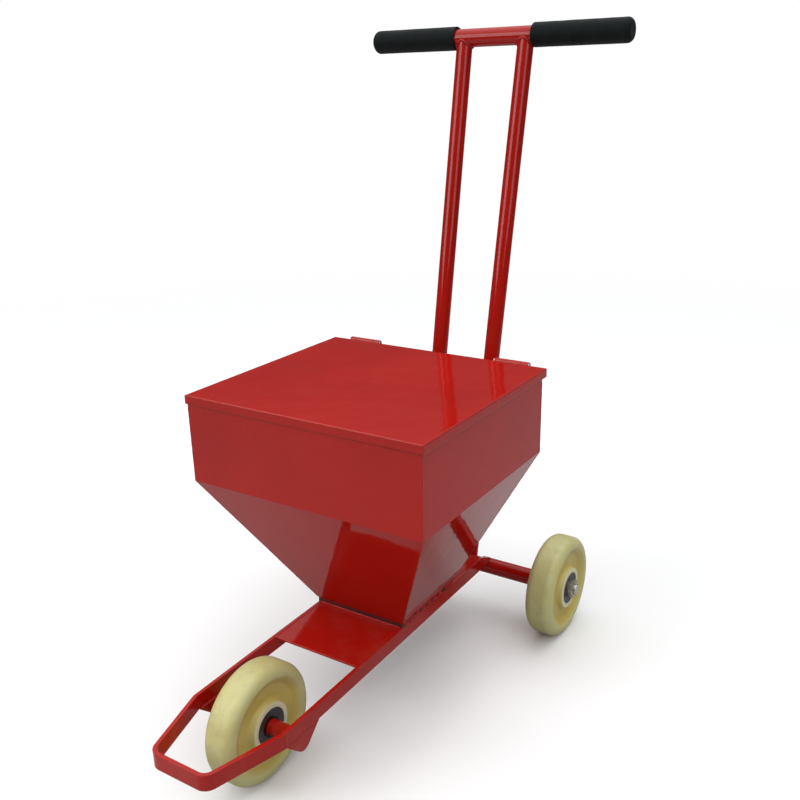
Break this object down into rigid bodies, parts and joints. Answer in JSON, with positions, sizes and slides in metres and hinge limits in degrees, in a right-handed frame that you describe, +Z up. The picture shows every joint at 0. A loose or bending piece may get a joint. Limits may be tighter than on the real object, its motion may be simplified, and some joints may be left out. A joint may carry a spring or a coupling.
{
  "type": "push seeder",
  "caption": "Push seeder cart: square lidded hopper with a pyramid outlet over a sliding shutter, flat-bar frame, rolling wheels and a leaning two-post handle.",
  "frame": {"origin": "on the ground, at the middle of the object's footprint", "axes": "+Z up, the nose points to -Y and the handle to +Y, x = 0 is the plane of symmetry"},
  "size_m": [0.4212, 0.745, 0.8605],
  "materials": {
    "red_paint": "gloss red enamel",
    "bare_steel": "bare rolled steel",
    "zinc_steel": "bright zinc plate",
    "bearing_steel": "ground and polished",
    "cream_nylon": "satin cast nylon",
    "black_rubber": "matt",
    "black_foam": "soft foam sleeve with a dull skin",
    "black_plastic": "moulded ball knob"
  },
  "bodies": {
    "chassis": {"rail_right": "red_paint", "rail_left": "red_paint", "nose_bar": "red_paint", "deck_plate": "red_paint", "rear_deck_plate": "red_paint", "axle_tubes": "red_paint", "hopper_back_panel": "red_paint", "hopper_front_panel": "red_paint", "hopper_right_panel": "red_paint", "hopper_left_panel": "red_paint", "outlet_neck": "red_paint", "throat_frame": "red_paint", "metering_plate": "bare_steel", "shutter_guides": "bare_steel", "post_brace": "red_paint", "axle_bracket_right": "red_paint", "axle_bracket_left": "red_paint", "hinge_fixed_leaves": "red_paint", "hinge_pins": "bare_steel", "post_right": "red_paint", "post_left": "red_paint", "crossbar": "red_paint", "grip_right": "black_foam", "grip_left": "black_foam", "front_axle": "red_paint", "rear_axle": "red_paint", "axle_washers": "bare_steel", "axle_nuts": "zinc_steel", "axle_retaining_rings": "bare_steel", "bearing_inner_rings": "bearing_steel", "hub_sleeves": "bare_steel"},
    "lid": {"lid_panel": "red_paint", "hinge_lid_leaves": "red_paint"},
    "shutter": {"shutter_plate": "bare_steel", "pull_rod": "bare_steel", "rod_stop_pins": "bare_steel", "pull_knob": "black_plastic"},
    "front_wheel_body": {"front_wheel": "cream_nylon", "front_bearing_outer_rings": "bearing_steel", "front_bearing_seals": "black_rubber", "front_bearing_balls": "bearing_steel", "front_hub_caps": "black_plastic"},
    "rear_right_wheel_body": {"rear_right_wheel": "cream_nylon", "rear_right_bearing_outer_rings": "bearing_steel", "rear_right_bearing_seals": "black_rubber", "rear_right_bearing_balls": "bearing_steel", "rear_right_hub_caps": "black_plastic"},
    "rear_left_wheel_body": {"rear_left_wheel": "cream_nylon", "rear_left_bearing_outer_rings": "bearing_steel", "rear_left_bearing_seals": "black_rubber", "rear_left_bearing_balls": "bearing_steel", "rear_left_hub_caps": "black_plastic"}
  },
  "joints": [
    {"name": "lid_hinge", "type": "hinge", "parent": "chassis", "child": "lid", "pos_m": [0, 0.182, 0.425], "axis": [-1, 0, 0], "range_deg": [0, 110]},
    {"name": "shutter_slide", "type": "slide", "parent": "chassis", "child": "shutter", "axis": [0, 1, 0], "range_m": [0, 0.024]},
    {"name": "front_wheel_spin", "type": "hinge", "parent": "chassis", "child": "front_wheel_body", "pos_m": [0, -0.242, 0.075], "axis": [-1, 0, 0], "continuous": true},
    {"name": "rear_right_wheel_spin", "type": "hinge", "parent": "chassis", "child": "rear_right_wheel_body", "pos_m": [0.178, 0.232, 0.075], "axis": [-1, 0, 0], "continuous": true},
    {"name": "rear_left_wheel_spin", "type": "hinge", "parent": "chassis", "child": "rear_left_wheel_body", "pos_m": [-0.178, 0.232, 0.075], "axis": [-1, 0, 0], "continuous": true}
  ]
}
